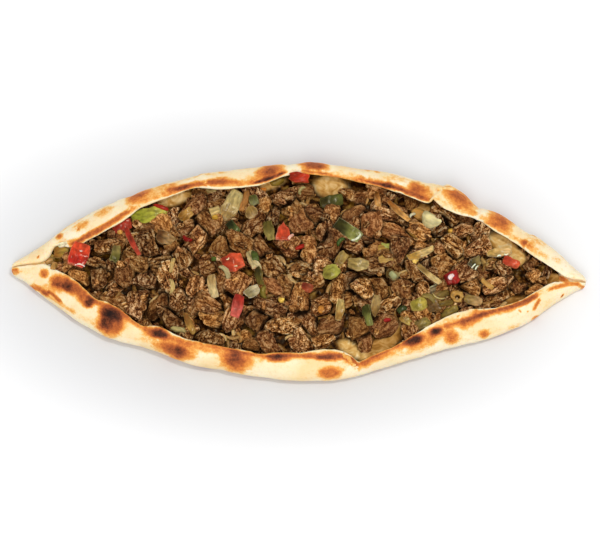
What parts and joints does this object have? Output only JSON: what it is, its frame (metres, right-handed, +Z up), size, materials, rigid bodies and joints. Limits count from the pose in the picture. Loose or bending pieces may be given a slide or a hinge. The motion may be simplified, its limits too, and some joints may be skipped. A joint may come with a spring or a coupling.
{
  "type": "turkish pide",
  "caption": "Boat-shaped baked flatbread with folded, scorched edges round an open filling of diced beef, onion, tomato and pepper.",
  "frame": {"origin": "on the flat underside, below the middle of the bread's length and width", "axes": "+X along the boat from its blunter to its slimmer end, +Y to the far long side, +Z up out of the open filling"},
  "size_m": [0.35, 0.1396, 0.0221],
  "materials": {
    "crust": "baked flatbread dough, dry and matt, cream with scorched brown spots",
    "beef": "fried beef, fibrous, with a thin gloss of fat",
    "tomato": "cooked tomato flesh and skin, wet gloss",
    "red_pepper": "cooked red pepper, wet gloss",
    "green_pepper": "cooked green pepper, wet gloss",
    "pepper_ring": "cooked yellow-green pepper ring, wet gloss",
    "onion": "fried onion, translucent, wet gloss"
  },
  "bodies": {
    "root": {"beef_heap": "beef", "dough": "crust", "green_pepper_1": "green_pepper", "green_pepper_10": "green_pepper", "green_pepper_11": "green_pepper", "green_pepper_12": "green_pepper", "green_pepper_13": "green_pepper", "green_pepper_14": "green_pepper", "green_pepper_15": "green_pepper", "green_pepper_16": "green_pepper", "green_pepper_17": "green_pepper", "green_pepper_2": "green_pepper", "green_pepper_3": "green_pepper", "green_pepper_4": "green_pepper", "green_pepper_5": "green_pepper", "green_pepper_6": "green_pepper", "green_pepper_7": "green_pepper", "green_pepper_8": "green_pepper", "green_pepper_9": "green_pepper", "onion_1": "onion", "onion_10": "onion", "onion_11": "onion", "onion_12": "onion", "onion_13": "onion", "onion_14": "onion", "onion_15": "onion", "onion_16": "onion", "onion_17": "onion", "onion_18": "onion", "onion_2": "onion", "onion_3": "onion", "onion_4": "onion", "onion_5": "onion", "onion_6": "onion", "onion_7": "onion", "onion_8": "onion", "onion_9": "onion", "pepper_ring_1": "pepper_ring", "red_pepper_1": "red_pepper", "red_pepper_2": "red_pepper", "red_pepper_3": "red_pepper", "red_pepper_4": "red_pepper", "red_pepper_5": "red_pepper", "red_pepper_6": "red_pepper", "red_pepper_7": "red_pepper", "tomato_1": "tomato", "tomato_2": "tomato", "tomato_3": "tomato"}
  },
  "joints": []
}
